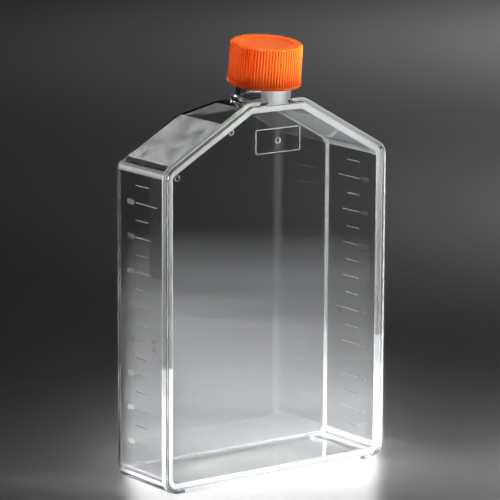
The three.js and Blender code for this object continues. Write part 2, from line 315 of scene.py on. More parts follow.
def thread_ridge(neck, radius, rise, start):
    """A ridge along a right-hand helix; a negative rise stands inwards. Its ends run out to the wall."""
    steps = round(neck.turns * ROUND_STEPS)
    run_out = ROUND_STEPS / 8
    inwards = math.copysign(1.0, rise)
    sunk = radius - inwards * 0.3 * neck.ridge_rise
    rings = []
    for step in range(steps + 1):
        turn = 2 * math.pi * step / ROUND_STEPS
        middle = start + neck.pitch * step / ROUND_STEPS
        full = max(min(step / run_out, (steps - step) / run_out, 1.0), 0.05)
        crest = radius + rise * full
        rounded = radius + rise * full * 0.85
        section = (
            (sunk, -neck.ridge_root / 2),
            (rounded, -neck.ridge_crest / 2 - 0.06 * neck.ridge_root),
            (crest, -neck.ridge_crest / 3),
            (crest, neck.ridge_crest / 3),
            (rounded, neck.ridge_crest / 2 + 0.06 * neck.ridge_root),
            (sunk, neck.ridge_root / 2),
        )
        rings.append([(r * math.cos(turn), r * math.sin(turn), middle + h) for r, h in section])
    return loft(rings)


def put(name, data):
    """Puts data into the scene as an object."""
    made = bpy.data.objects.new(name, data)
    bpy.context.scene.collection.objects.link(made)
    return made


def add_object(name, bm, matrix=None):
    """Puts a bmesh into the scene as an object, moved by matrix."""
    if matrix is not None:
        bm.transform(matrix)
    mesh = bpy.data.meshes.new(name)
    bm.to_mesh(mesh)
    bm.free()
    return put(name, mesh)


def settle(piece):
    """Turns a piece with modifiers into a plain mesh object of the same name."""
    name = piece.name
    evaluated = piece.evaluated_get(bpy.context.evaluated_depsgraph_get())
    mesh = bpy.data.meshes.new_from_object(evaluated)
    bpy.data.objects.remove(piece)
    mesh.name = name
    return put(name, mesh)


def combine(piece, bm, operation, matrix=None):
    """Joins a solid to a piece or cuts it away, and returns the piece."""
    tool = add_object("tool", bm, matrix)
    modifier = piece.modifiers.new("combine", "BOOLEAN")
    modifier.operation = operation
    modifier.solver = "EXACT"
    modifier.object = tool
    piece = settle(piece)
    bpy.data.objects.remove(tool)
    return piece


def smooth(piece, sharp_degrees=30.0):
    """Shades a piece smoothly between its sharp edges, with flat faces kept flat."""
    bm = bmesh.new()
    bm.from_mesh(piece.data)
    bmesh.ops.remove_doubles(bm, verts=bm.verts, dist=1e-7)
    bmesh.ops.dissolve_degenerate(bm, edges=bm.edges, dist=1e-7)
    bm.to_mesh(piece.data)
    bm.free()
    piece.data.shade_smooth()
    piece.data.set_sharp_from_angle(angle=math.radians(sharp_degrees))
    modifier = piece.modifiers.new("flat faces", "WEIGHTED_NORMAL")
    modifier.keep_sharp = True
    modifier.weight = 100
    return settle(piece)


def join(name, pieces):
    """Makes one mesh object of several."""
    bm = bmesh.new()
    for piece in pieces:
        bm.from_mesh(piece.data)
        bpy.data.objects.remove(piece)
    return add_object(name, bm)


def finish_piece(piece, material, *nodes, body="flask", slot="clear_polystyrene"):
    """Gives a piece its material and body, and hides the nodes that it stands for. Its slot argument is not
    used.
    """
    piece.data.materials.clear()
    piece.data.materials.append(material)
    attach(piece, body)
    if nodes:
        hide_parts(*nodes)
    return piece


# ------------------------------------------------------------------------------------ outlines


def cross(a, b):
    """Cross product of two flat vectors."""
    return a.x * b.y - a.y * b.x


def flange_corners(flask):
    """Corners of the flange's outline as (x, z), anticlockwise from the lower left."""
    half, top = flask.width / 2, flask.top_width / 2
    return [
        Vector(point)
        for point in (
            (-half, 0.0),
            (half, 0.0),
            (half, flask.shoulder_height),
            (top, flask.top_height),
            (-top, flask.top_height),
            (-half, flask.shoulder_height),
        )
    ]


def edge_lines(corners):
    """Start, direction and inward direction of every edge of an outline."""
    lines = []
    for i, corner in enumerate(corners):
        along = (corners[(i + 1) % len(corners)] - corner).normalized()
        lines.append((corner, along, Vector((-along.y, along.x))))
    return lines


def inset_corners(corners, inset, foot_inset):
    """Moves every edge inwards by inset, and the first, bottom edge by foot_inset."""
    edges = [
        (start + inwards * (inset if i else foot_inset), along)
        for i, (start, along, inwards) in enumerate(edge_lines(corners))
    ]
    moved = []
    for i, (point, along) in enumerate(edges):
        before, arriving = edges[i - 1]
        moved.append(before + arriving * cross(point - before, along) / cross(arriving, along))
    return moved


def rectangle(width, height):
    """Corners of a rectangle about the origin, anticlockwise from the lower left."""
    x, z = width / 2, height / 2
    return [Vector(point) for point in ((-x, -z), (x, -z), (x, z), (-x, z))]


def rounded(corners, radius, steps=CORNER_STEPS):
    """Points round an outline with rounded corners."""
    points = []
    for i, corner in enumerate(corners):
        arriving = (corner - corners[i - 1]).normalized()
        leaving = (corners[(i + 1) % len(corners)] - corner).normalized()
        turn = math.acos(arriving.dot(leaving))
        start = corner - arriving * radius * math.tan(turn / 2)
        centre = start + Vector((-arriving.y, arriving.x)) * radius
        first = math.atan2(start.y - centre.y, start.x - centre.x)
        for step in range(steps + 1):
            heading = first + turn * step / steps
            points.append(centre + Vector((math.cos(heading), math.sin(heading))) * radius)
    return points


def flask_solid(flask, profile):
    """A solid through flange-shaped rings. The profile holds (depth, inset, foot inset) of each ring."""
    corners = flange_corners(flask)
    rings = []
    for depth, inset, foot_inset in profile:
        outline = rounded(inset_corners(corners, inset, foot_inset), flask.corner_radius - inset)
        rings.append([(point.x, FRONT + depth, point.y) for point in outline])
    return loft(rings)


def frame_solid(width, height, middle, radius, line, near, far):
    """A rectangular ridge with rounded corners and a rounded crest, drawn in X and Z."""
    rings = []
    crest = (near + far) / 2 + (near - far) * 0.3
    for inset, y in (
        (0.0, far), (0.0, crest), (line * 0.25, near), (line * 0.75, near), (line, crest), (line, far),
    ):
        corners = rectangle(width - 2 * inset, height - 2 * inset)
        outline = rounded(corners, radius - inset, SMALL_CORNER_STEPS)
        rings.append([(point.x, y, middle + point.y) for point in outline])
    return loft(rings, hoop=True)


def neck_matrix():
    """From the neck's own frame, with Z along its axis, to the row frame."""
    flask, neck = settings().flask, settings().neck
    foot = (0.0, FRONT + neck.depth, flask.top_height - flask.overhang)
    return Matrix.Translation(foot) @ Matrix.Rotation(neck.lean, 4, "X")


# ------------------------------------------------------------------------------------ materials


def feed(tree, socket, value):
    """Links another socket to an input, or sets the input to a plain value."""
    if isinstance(value, bpy.types.NodeSocket):
        tree.links.new(value, socket)
    else:
        socket.default_value = value


def node(tree, kind, **values):
    """A node with some of its inputs fed; an underscore stands for a space."""
    made = tree.nodes.new(kind)
    for label, value in values.items():
        feed(tree, made.inputs[label.replace("_", " ")], value)
    return made


def moulded_surface():
    """A shader node group: the faint flow ripple and fine specks of moulded plastic."""
    name = "Moulded surface"
    if name in bpy.data.node_groups:
        return bpy.data.node_groups[name]
    group = bpy.data.node_groups.new(name, "ShaderNodeTree")
    defaults = {
        "Ripple Scale": 30.0, "Speck Scale": 900.0, "Speck Share": 0.2, "Smoothest": 0.02, "Roughest": 0.05,
    }
    for label, default in defaults.items():
        socket = group.interface.new_socket(label, in_out="INPUT", socket_type="NodeSocketFloat")
        socket.default_value = default
    for label in ("Height", "Roughness"):
        group.interface.new_socket(label, in_out="OUTPUT", socket_type="NodeSocketFloat")
    entry = group.nodes.new("NodeGroupInput").outputs
    place = group.nodes.new("ShaderNodeTexCoord").outputs["Object"]
    ripple = node(group, "ShaderNodeTexNoise", Vector=place, Scale=entry["Ripple Scale"], Detail=1.0)
    speck = node(group, "ShaderNodeTexNoise", Vector=place, Scale=entry["Speck Scale"], Detail=3.0)
    ripple, speck = ripple.outputs["Fac"], speck.outputs["Fac"]
    height = node(group, "ShaderNodeMix", Factor=entry["Speck Share"], A=ripple, B=speck)
    smoothest, roughest = entry["Smoothest"], entry["Roughest"]
    rough = node(group, "ShaderNodeMapRange", Value=speck, To_Min=smoothest, To_Max=roughest)
    node(group, "NodeGroupOutput", Height=height.outputs["Result"], Roughness=rough.outputs["Result"])
    return group


def new_material(name, tint, **values):
    """A material with a tinted Principled node; returns it, its tree, that node and its output node."""
    material = bpy.data.materials.new(name)
    material.use_nodes = True
    tree = material.node_tree
    tree.nodes.clear()
    shader = node(tree, "ShaderNodeBsdfPrincipled", Base_Color=(*tint, 1.0), **values)
    output = node(tree, "ShaderNodeOutputMaterial", Surface=shader.outputs["BSDF"])
    return material, tree, shader, output


def add_surface(tree, shader, bump, **values):
    """Feeds a material's roughness and normal from the moulded surface; bump is its height in metres."""
    surface = tree.nodes.new("ShaderNodeGroup")
    surface.node_tree = moulded_surface()
    for label, value in values.items():
        surface.inputs[label.replace("_", " ").title()].default_value = value
    relief = node(tree, "ShaderNodeBump", Strength=1.0, Distance=bump, Height=surface.outputs["Height"])
    feed(tree, shader.inputs["Normal"], relief.outputs["Normal"])
    feed(tree, shader.inputs["Roughness"], surface.outputs["Roughness"])


def let_lamps_through(tree, shader, output, share):
    """Lets lamps shine through a clear plastic, so that it casts a light shadow."""
    path = tree.nodes.new("ShaderNodeLightPath")
    passing = node(tree, "ShaderNodeBsdfTransparent", Color=(share, share, share, 1.0))
    mix = node(tree, "ShaderNodeMixShader", Fac=path.outputs["Is Shadow Ray"])
    feed(tree, mix.inputs[1], shader.outputs["BSDF"])
    feed(tree, mix.inputs[2], passing.outputs["BSDF"])
    feed(tree, output.inputs["Surface"], mix.outputs["Shader"])


def clear_plastic():
    """Polished clear polystyrene."""
    tint = settings().finishes.clear
    material, tree, shader, output = new_material(
        "Clear polystyrene", tint, IOR=POLYSTYRENE_IOR, Transmission_Weight=1.0
    )
    add_surface(tree, shader, 0.000004, ripple_scale=45.0, speck_share=0.1, smoothest=0.0, roughest=0.02)
    let_lamps_through(tree, shader, output, 0.93)
    return material


def frosted_plastic(name, smoothest, roughest, speck_scale=2500.0, transmission=1.0):
    """Polystyrene with a matt moulded surface, which scatters what passes through it."""
    tint = settings().finishes.frosted
    material, tree, shader, output = new_material(
        name, tint, IOR=POLYSTYRENE_IOR, Transmission_Weight=transmission
    )
    add_surface(
        tree, shader, 0.00001,
        speck_scale=speck_scale, speck_share=0.8, smoothest=smoothest, roughest=roughest,
    )
    let_lamps_through(tree, shader, output, 0.85)
    return material


def orange_plastic():
    """Slightly waxy, slightly translucent polyethylene."""
    material, tree, shader, _ = new_material(
        "Orange polyethylene", settings().finishes.orange, IOR=1.52, Subsurface_Weight=0.35,
        Subsurface_Radius=(1.0, 0.35, 0.05), Subsurface_Scale=0.003, Specular_IOR_Level=0.15,
    )
    add_surface(tree, shader, 0.00001, ripple_scale=120.0, speck_share=0.5, smoothest=0.3, roughest=0.45)
    return material


def foam_plastic():
    """Closed-cell foam with a skin."""
    material, tree, shader, _ = new_material("White foam", settings().finishes.foam)
    add_surface(tree, shader, 0.00003, speck_scale=3000.0, speck_share=0.7, smoothest=0.6, roughest=0.85)
    return material


# ------------------------------------------------------------------------------------ clear body


def outer_profile(flask):
    """Outside of the body from the flange's front face back to the growth wall."""
    edge, fillet, back = flask.edge_radius, flask.fillet_radius, flask.back_radius
    flange, side = flask.flange_thickness, flask.overhang
    profile = [(edge * (1 - c), edge * (1 - s), edge * (1 - s)) for s, c in quarter()]
    profile += [(flange - edge + edge * s, edge * (1 - c), 0.0) for s, c in quarter()]
    profile += [(flange + fillet * (1 - c), side - fillet * (1 - s), 0.0) for s, c in quarter()]
    profile += [
        (flask.depth - back * (1 - s), side + back * (1 - c), back * (1 - c))
        for s, c in quarter(CORNER_STEPS)
    ]
    return profile


def hollow_profile(flask):
    """The cover plate's pocket and the chamber behind it."""
    edge, side = flask.edge_radius / 2, flask.overhang
    seat = flask.plate_thickness + flask.clearance
    inside = side + flask.wall
    radius = flask.back_radius - flask.wall
    back = flask.depth - flask.wall
    profile = [(-OVERRUN, side - edge, side - edge), (0.0, side - edge, side - edge)]
    profile += [(edge, side, side), (seat, side, side), (seat, inside, inside)]
    profile += [
        (back - radius * (1 - s), inside + radius * (1 - c), inside + radius * (1 - c)) for s, c in quarter(6)
    ]
    return profile


def cut_ramp(bm, flask, inset):
    """Cuts a solid along the sloping plane above the growth wall, moved inwards by inset."""
    run = flask.depth - flask.ramp_depth
    rise = flask.top_height - flask.overhang - flask.ramp_height
    normal = Vector((0.0, rise, run)).normalized()
    point = Vector((0.0, FRONT + flask.depth, flask.ramp_height)) - normal * inset
    cut_off(bm, point, normal)


def neck_solid(neck):
    """Neck and collar as one turned solid."""
    rim = neck.rim_radius
    taper = neck.collar_height + neck.collar_taper
    profile = [(0.0, -neck.root), (neck.collar_radius, -neck.root)]
    edge = 0.25 * rim
    profile += [
        (neck.collar_radius - edge * (1 - c), neck.collar_height - edge * (1 - s)) for s, c in quarter()
    ]
    reach = neck.collar_radius - neck.radius
    profile += [
        (neck.radius + reach * (1 - s) * 0.9, neck.collar_height + neck.collar_taper * (1 - c))
        for s, c in quarter(6)
    ]
    profile += [(neck.radius, taper + rim)]
    profile += [(neck.radius - rim * (1 - c), neck.height - rim * (1 - s)) for s, c in quarter()]
    profile += [(0.0, neck.height)]
    return turned(profile)


def bore_solid(neck):
    """What is taken out of the neck."""
    edge = 0.5 * neck.rim_radius
    profile = [(0.0, -neck.bore), (neck.bore, -neck.bore)]
    profile += [(neck.bore, neck.height - edge), (neck.bore + edge, neck.height)]
    profile += [(neck.bore + edge, neck.height + OVERRUN), (0.0, neck.height + OVERRUN)]
    return turned(profile)


def paint_rim(body, flask):
    """Gives the flange beyond the walls, the neck's foot and the back and bottom edges a dull finish."""
    for name, smoothest, roughest, transmission in (
        ("Dull rim", 0.25, 0.55, 0.85), ("Dull edge", 0.1, 0.3, 0.62), ("Dull back edge", 0.1, 0.3, 0.5),
    ):
        body.data.materials.append(frosted_plastic(name, smoothest, roughest, 220.0, transmission))
    edges = edge_lines(flange_corners(flask))

    def on_rim(vertex):
        place = Vector((vertex.co.x, vertex.co.z))
        inside = min((place - start).dot(inwards) for start, _, inwards in edges)
        return vertex.co.y < FRONT + flask.flange_thickness + PLAY and inside < flask.overhang + PLAY

    rim = [on_rim(vertex) for vertex in body.data.vertices]
    shoulder_low, shoulder_high = flask.shoulder_height - flask.corner_radius, flask.shoulder_height + 0.002
    back = FRONT + flask.depth - flask.back_radius
    foot = flask.width / 2 - flask.foot_width
    for face in body.data.polygons:
        centre, normal = face.center, face.normal
        slope = abs(normal.z)
        below_shoulder = shoulder_low < centre.z < shoulder_high and 0.02 < normal.z < 0.7
        lower_corner = centre.z < flask.corner_radius and (0.05 < slope < 0.3 or 0.9 < slope < 0.99)
        recess = centre.z < flask.foot_height and abs(abs(centre.x) - foot) < PLAY
        if all(rim[i] for i in face.vertices):
            face.material_index = 1
        elif lower_corner or recess or below_shoulder:
            face.material_index = 2
        elif centre.y > back and 0.1 < normal.y < 0.95 and centre.z < flask.ramp_height:
            face.material_index = 3


class FLASK_OT_body(bpy.types.Operator):
    """Builds the clear body with its flange, shoulders, ramp, feet and threaded neck"""

    bl_idname = "culture_flask.body"
    bl_label = "Clear body"

    def execute(self, context):
        flask, neck = settings().flask, settings().neck
        upright = neck_matrix()
        outside = flask_solid(flask, outer_profile(flask))
        cut_ramp(outside, flask, 0.0)
        body = add_object("clear_body", outside)
        half = flask.width / 2
        recess = box_solid(
            (flask.foot_width - half, FRONT + flask.flange_thickness, -OVERRUN),
            (half - flask.foot_width, FRONT + flask.depth + OVERRUN, flask.foot_height),
        )
        body = combine(body, recess, "DIFFERENCE")
        collar = neck_solid(neck)
        collar.transform(upright)
        cut_off(collar, (0.0, FRONT, 0.0), (0.0, -1.0, 0.0))
        body = combine(body, collar, "UNION")
        hollow = flask_solid(flask, hollow_profile(flask))
        cut_ramp(hollow, flask, flask.wall)
        body = combine(body, hollow, "DIFFERENCE")
        ridge = thread_ridge(neck, neck.radius, neck.ridge_rise, neck.ridge_start)
        body = combine(body, ridge, "UNION", upright)
        body = combine(body, bore_solid(neck), "DIFFERENCE", upright)
        body = smooth(body)
        finish_piece(body, clear_plastic(), "flask_body")
        paint_rim(body, flask)
        return {"FINISHED"}


# ------------------------------------------------------------------------------------ cover plate


class FLASK_OT_cover_plate(bpy.types.Operator):
    """Builds the clear plate that closes the front"""

    bl_idname = "culture_flask.cover_plate"
    bl_label = "Cover plate"

    def execute(self, context):
        flask = settings().flask
        inset = flask.overhang + flask.clearance
        edge = flask.edge_radius / 2
        far = flask.plate_thickness
        outline = [(edge * (1 - c), inset + edge * (1 - s)) for s, c in quarter()]
        outline += [(far - edge * (1 - s), inset + edge * (1 - c)) for s, c in quarter()]
        profile = [(depth, moved, moved) for depth, moved in outline]
        plate = smooth(add_object("clear_cover_plate", flask_solid(flask, profile)))
        finish_piece(plate, bpy.data.materials["Clear polystyrene"], "cover_plate")
        return {"FINISHED"}


class FLASK_OT_weld_seam(bpy.types.Operator):
    """Builds the bead that the weld has pushed inwards behind the cover plate"""

    bl_idname = "culture_flask.weld_seam"
    bl_label = "Weld seam"

    def execute(self, context):
        flask = settings().flask
        near = flask.plate_thickness + PLAY
        far = near + flask.seam
        wall = flask.overhang + flask.wall
        gap = flask.overhang + flask.clearance
        in_gap = near + 0.7 * flask.clearance
        profile = [
            (near, wall + flask.seam),
            (near, gap),
            (in_gap, gap),
            (in_gap, wall + PLAY),
            (far, wall + PLAY),
            (far - 0.1 * flask.seam, wall + 0.5 * flask.seam),
            (far - 0.5 * flask.seam, wall + 0.9 * flask.seam),
        ]
        corners = flange_corners(flask)
        rings = []
        for depth, inset in profile:
            radius = max(flask.corner_radius - inset, SMALLEST_CORNER)
            outline = rounded(inset_corners(corners, inset, inset), radius)
            rings.append([(point.x, FRONT + depth, point.y) for point in outline])
        piece = smooth(add_object("weld_seam", loft(rings, hoop=True)))
        finish_piece(piece, frosted_plastic("Weld seam", 0.35, 0.5, 900.0, 0.8))
        return {"FINISHED"}


# ------------------------------------------------------------------------------------ moulded marks


class FLASK_OT_label_frame(bpy.types.Operator):
    """Builds the raised frame round the bare label field"""

    bl_idname = "culture_flask.label_frame"
    bl_label = "Label frame"

    def execute(self, context):
        marks = settings().marks
        ridge = frame_solid(
            marks.label_width, marks.label_height, marks.label_centre, marks.label_radius, marks.label_line,
            FRONT - LABEL_RISE, FRONT - LIFT,
        )
        piece = smooth(add_object("label_frame", ridge))
        finish_piece(piece, frosted_plastic("Raised mark", 0.15, 0.4))
        return {"FINISHED"}


class FLASK_OT_ejector_rings(bpy.types.Operator):
    """Builds the small round ridges that the mould has left on the cover plate"""

    bl_idname = "culture_flask.ejector_rings"
    bl_label = "Ejector rings"

    def execute(self, context):
        marks = settings().marks
        radius, line = marks.ring_radius, marks.ring_line
        turns = [2 * math.pi * i / RING_STEPS for i in range(RING_STEPS)]
        section = (
            (radius, LIFT), (radius - 0.25 * line, LABEL_RISE), (radius - 0.75 * line, LABEL_RISE),
            (radius - line, LIFT),
        )
        pieces = []
        for x, z in RING_PLACES:
            rings = [
                [(x + r * math.cos(turn), FRONT - rise, z + r * math.sin(turn)) for turn in turns]
                for r, rise in section
            ]
            pieces.append(add_object("ring", loft(rings, hoop=True)))
        piece = smooth(join("ejector_rings", pieces))
        finish_piece(piece, bpy.data.materials["Raised mark"])
        return {"FINISHED"}


def math_node(tree, operation, a, b):
    """The result of a Math node on two numbers or sockets."""
    made = tree.nodes.new("ShaderNodeMath")
    made.operation = operation
    feed(tree, made.inputs[0], a)
    feed(tree, made.inputs[1], b)
    return made.outputs[0]


def vector_node(tree, **values):
    """A vector of numbers or sockets given as X, Y and Z."""
    return node(tree, "ShaderNodeCombineXYZ", **values).outputs[0]


def choose(tree, switch, off, on):
    """One number of two, by a switch."""
    chosen = tree.nodes.new("GeometryNodeSwitch")
    chosen.input_type = "FLOAT"
    for label, value in (("Switch", switch), ("False", off), ("True", on)):
        feed(tree, chosen.inputs[label], value)
    return chosen.outputs[0]


def new_tree(name, inputs):
    """A Geometry Nodes tree with named inputs; returns the tree and its inputs' sockets."""
    tree = bpy.data.node_groups.new(name, "GeometryNodeTree")
    for label, kind in [("Geometry", "NodeSocketGeometry")] + inputs:
        tree.interface.new_socket(label, in_out="INPUT", socket_type=kind)
    tree.interface.new_socket("Geometry", in_out="OUTPUT", socket_type="NodeSocketGeometry")
    return tree, tree.nodes.new("NodeGroupInput").outputs


def end_tree(tree, geometry, material):
    """Gives a tree's geometry its material and hands it out."""
    paint = node(tree, "GeometryNodeSetMaterial", Geometry=geometry, Material=material)
    node(tree, "NodeGroupOutput", Geometry=paint.outputs[0])


def run_tree(name, source, tree, **values):
    """Runs a Geometry Nodes tree on an object's data and returns the result as a plain mesh object."""
    piece = put(name, source)
    modifier = piece.modifiers.new("nodes", "NODES")
    modifier.node_group = tree
    for item in tree.interface.items_tree:
        label = item.name.lower().replace(" ", "_")
        if item.in_out == "INPUT" and label in values:
            modifier[item.identifier] = values[label]
    return settle(piece)


def volume_tree():
    """Marks up both side walls: every second one is longer, and some are longer still."""
    lengths = (
        "Zero Height", "Spacing", "Wall", "Far End", "Short", "Middle", "Long", "Line", "Rise", "Turn Depth",
    )
    inputs = [("Count", "NodeSocketInt"), ("Long Every", "NodeSocketInt"), ("Material", "NodeSocketMaterial")]
    inputs += [(label, "NodeSocketFloat") for label in lengths]
    tree, size = new_tree("Volume marks", inputs)
    mark = math_node(tree, "ADD", tree.nodes.new("GeometryNodeInputIndex").outputs[0], 1.0)
    is_odd = math_node(tree, "MODULO", mark, 2.0)
    is_other = math_node(tree, "GREATER_THAN", math_node(tree, "MODULO", mark, size["Long Every"]), 0.5)
    extent = choose(tree, is_other, size["Long"], choose(tree, is_odd, size["Middle"], size["Short"]))

    start = vector_node(tree, Z=math_node(tree, "ADD", size["Zero Height"], size["Spacing"]))
    step = vector_node(tree, Z=size["Spacing"])
    rows = node(tree, "GeometryNodeMeshLine", Count=size["Count"], Start_Location=start, Offset=step)
    middle = math_node(tree, "SUBTRACT", size["Far End"], math_node(tree, "MULTIPLY", extent, 0.5))
    shift = vector_node(tree, X=math_node(tree, "MULTIPLY", size["Wall"], -1.0), Y=middle)
    place = node(tree, "GeometryNodeSetPosition", Geometry=rows.outputs[0], Offset=shift)

    bar = node(tree, "GeometryNodeMeshCylinder", Vertices=12, Radius=0.5, Depth=1.0)
    lie = node(tree, "GeometryNodeTransform", Geometry=bar.outputs["Mesh"], Rotation=(math.pi / 2, 0.0, 0.0))
    stretch = vector_node(tree, X=math_node(tree, "MULTIPLY", size["Rise"], 2.0), Y=extent, Z=size["Line"])
    places, shape = place.outputs[0], lie.outputs[0]
    spread = node(tree, "GeometryNodeInstanceOnPoints", Points=places, Instance=shape, Scale=stretch)

    real = node(tree, "GeometryNodeRealizeInstances", Geometry=spread.outputs[0])
    about = vector_node(tree, Y=size["Turn Depth"])
    half_turn = (0.0, 0.0, math.pi)
    one = real.outputs[0]
    turn = node(tree, "GeometryNodeTransform", Geometry=one, Translation=about, Rotation=half_turn)
    both = tree.nodes.new("GeometryNodeJoinGeometry")
    for side in (turn, real):
        tree.links.new(side.outputs[0], both.inputs[0])
    end_tree(tree, both.outputs[0], size["Material"])
    return tree


def wall_place():
    """X of the side walls' outside, and the depth sum that half a turn about the flask's middle keeps."""
    flask, marks = settings().flask, settings().marks
    return flask.width / 2 - flask.overhang, 2 * (FRONT + marks.depth) + marks.short


class FLASK_OT_volume_marks(bpy.types.Operator):
    """Builds the raised volume marks on both side walls"""

    bl_idname = "culture_flask.volume_marks"
    bl_label = "Volume marks"

    def execute(self, context):
        marks = settings().marks
        wall, depth_sum = wall_place()
        material = bpy.data.materials["Raised mark"]
        piece = run_tree(
            "volume_marks", bpy.data.meshes.new("volume_marks"), volume_tree(),
            count=marks.count, long_every=marks.long_every, zero_height=marks.zero_height,
            spacing=marks.spacing, wall=wall, far_end=FRONT + marks.depth + marks.short,
            short=marks.short, middle=marks.middle, long=marks.long, line=marks.line, rise=marks.rise,
            turn_depth=depth_sum, material=material,
        )
        finish_piece(piece, material)
        return {"FINISHED"}


def raised_text(words, size, rise):
    """Lettering as a solid, drawn in X and Y with its lower right corner at the origin."""
    curve = bpy.data.curves.new("words", "FONT")
    curve.body = words
    curve.size = size
    curve.extrude = rise / 2
    curve.align_x = "RIGHT"
    curve.space_character = 1.1
    return settle(put("words", curve))


def pointer_solid(marks, height, side):
    """A small raised triangle that points down at a mark's front end, or up at it where side is -1."""
    wall, _ = wall_place()
    near = FRONT + marks.depth + marks.short - marks.long
    far = near + 2 * marks.pointer
    base, tip = height + side * 1.3 * marks.pointer, height + side * 0.3 * marks.pointer
    return loft([
        [(-wall - out, near, base), (-wall - out, far, base), (-wall - out, (near + far) / 2, tip)]
        for out in (LIFT, marks.rise)
    ])


class FLASK_OT_volume_numbers(bpy.types.Operator):
    """Builds the raised numbers beside every second volume mark, and the pointers at the lower long mark"""

    bl_idname = "culture_flask.volume_numbers"
    bl_label = "Volume numbers"

    def execute(self, context):
        marks = settings().marks
        wall, depth_sum = wall_place()
        upright = Matrix(((0, 0, -1, 0), (-1, 0, 0, 0), (0, 1, 0, 0), (0, 0, 0, 1)))
        half_turn = Matrix.Translation((0.0, depth_sum, 0.0)) @ Matrix.Rotation(math.pi, 4, "Z")
        size = marks.number_height / FIGURE_SHARE
        pieces = []
        for mark in range(2, marks.count + 1, 2):
            height = marks.zero_height + mark * marks.spacing - marks.number_height / 2
            corner = (-wall - marks.rise / 2, FRONT + marks.number_depth, height)
            for turn in (Matrix.Identity(4), half_turn):
                figures = raised_text(str(MARK_VALUE * mark), size, marks.rise)
                figures.data.transform(turn @ Matrix.Translation(corner) @ upright)
                pieces.append(figures)
        for side in (1, -1):
            for turn in (Matrix.Identity(4), half_turn):
                height = marks.zero_height + marks.long_every * marks.spacing
                pieces.append(add_object("pointer", pointer_solid(marks, height, side), turn))
        piece = join("volume_numbers", pieces)
        finish_piece(piece, frosted_plastic("Raised number", 0.04, 0.12, transmission=0.96))
        return {"FINISHED"}


# ------------------------------------------------------------------------------------ matt panels


class FLASK_OT_matt_strip(bpy.types.Operator):
    """Builds the matt strip on the left wall, left bare"""

    bl_idname = "culture_flask.matt_strip"
    bl_label = "Matt strip"

    def execute(self, context):
        marks = settings().marks
        wall, _ = wall_place()
        middle = (marks.strip_front + marks.strip_back) / 2
        corners = rectangle(marks.strip_back - marks.strip_front, marks.strip_high - marks.strip_low)
        outline = rounded(corners, STRIP_CORNER, SMALL_CORNER_STEPS)
        centre = (marks.strip_high + marks.strip_low) / 2
        rings = [
            [(-wall - out, FRONT + middle + point.x, centre + point.y) for point in outline]
            for out in (LIFT, marks.film)
        ]
        piece = smooth(add_object("matt_strip", loft(rings)))
        finish_piece(piece, frosted_plastic("Matt strip", 0.02, 0.14, 1500.0))
        return {"FINISHED"}


class FLASK_OT_writing_panels(bpy.types.Operator):
    """Builds the frosted writing panel on each shoulder"""

    bl_idname = "culture_flask.writing_panels"
    bl_label = "Writing panels"

    def execute(self, context):
        flask, marks = settings().flask, settings().marks
        corners = inset_corners(flange_corners(flask), flask.overhang, flask.overhang)
        shoulder, top = corners[2:4]
        up = (top - shoulder).normalized()
        out = Vector((up.y, -up.x))
        near = FRONT + flask.flange_thickness + marks.panel_front
        far = FRONT + flask.depth - marks.panel_back
        low, high = marks.panel_start, marks.panel_start + marks.panel_length
        flat = [Vector(point) for point in ((high, near), (high, far), (low, far), (low, near))]
        edge = marks.panel_rise / 2
        depth_sum = near + far
        material = frosted_plastic("Frosted panel", 0.05, 1.0, 130.0, 0.93)
        for name, side in (("writing_panel_right", 1), ("writing_panel_left", -1)):
            rings = []
            for inset, rise in ((0.0, LIFT), (0.0, edge), (edge, marks.panel_rise)):
                corners = inset_corners(flat, inset, inset)
                outline = rounded(corners, PANEL_CORNER - inset, SMALL_CORNER_STEPS)
                ring = []
                for point in outline:
                    place = shoulder + up * point.x + out * rise
                    y = point.y if side > 0 else depth_sum - point.y
                    ring.append((side * place.x, y, place.y))
                rings.append(ring)
            piece = smooth(add_object(name, loft(rings)))
            finish_piece(piece, material)
        return {"FINISHED"}


# ------------------------------------------------------------------------------------ cap


def cap_profile(cap):
    """Outside of the cap at the bottom of its grooves."""
    lip, groove = 0.0003, cap.rib_rise
    shoulder = cap.height - cap.edge_radius
    edge = cap.edge_radius
    profile = [(0.0, 0.0)]
    profile += [(cap.lip_radius - lip * (1 - s), lip * (1 - c)) for s, c in quarter()]
    profile += [(cap.lip_radius - lip * (1 - c), cap.lip_height - lip * (1 - s)) for s, c in quarter()]
    profile += [(cap.skirt_radius - groove, cap.lip_height)]
    profile += [
        (cap.top_radius - groove - (edge - groove) * (1 - c), shoulder + edge * s) for s, c in quarter(8)
    ]
    inner = cap.recess_depth
    profile += [
        (cap.recess_radius + inner * (1 - s), cap.height - inner * 0.5 * (1 - c)) for s, c in quarter()
    ]
    profile += [
        (cap.recess_radius - inner * s, cap.height - inner * 0.5 - inner * 0.5 * (1 - c))
        for s, c in quarter()
    ]
    profile += [(0.0, cap.height - cap.recess_depth)]
    return profile


def hollow_cap_profile(cap):
    """Inside of the cap, with the bead that holds the sealing disc."""
    ceiling = cap.height - cap.ceiling
    bead = ceiling - cap.disc_thickness - 2 * cap.disc_play - cap.bead_width
    r, chamfer, corner, steps = cap.hollow_radius, 0.0003, 0.0002, 6
    profile = [(0.0, -OVERRUN), (r + chamfer, -OVERRUN), (r + chamfer, 0.0), (r, 0.0004), (r, bead)]
    profile += [
        (r - cap.bead_rise * math.sin(math.pi * i / steps), bead + cap.bead_width * i / steps)
        for i in range(1, steps)
    ]
    profile += [(r, bead + cap.bead_width), (r, ceiling - corner), (r - corner, ceiling), (0.0, ceiling)]
    return profile


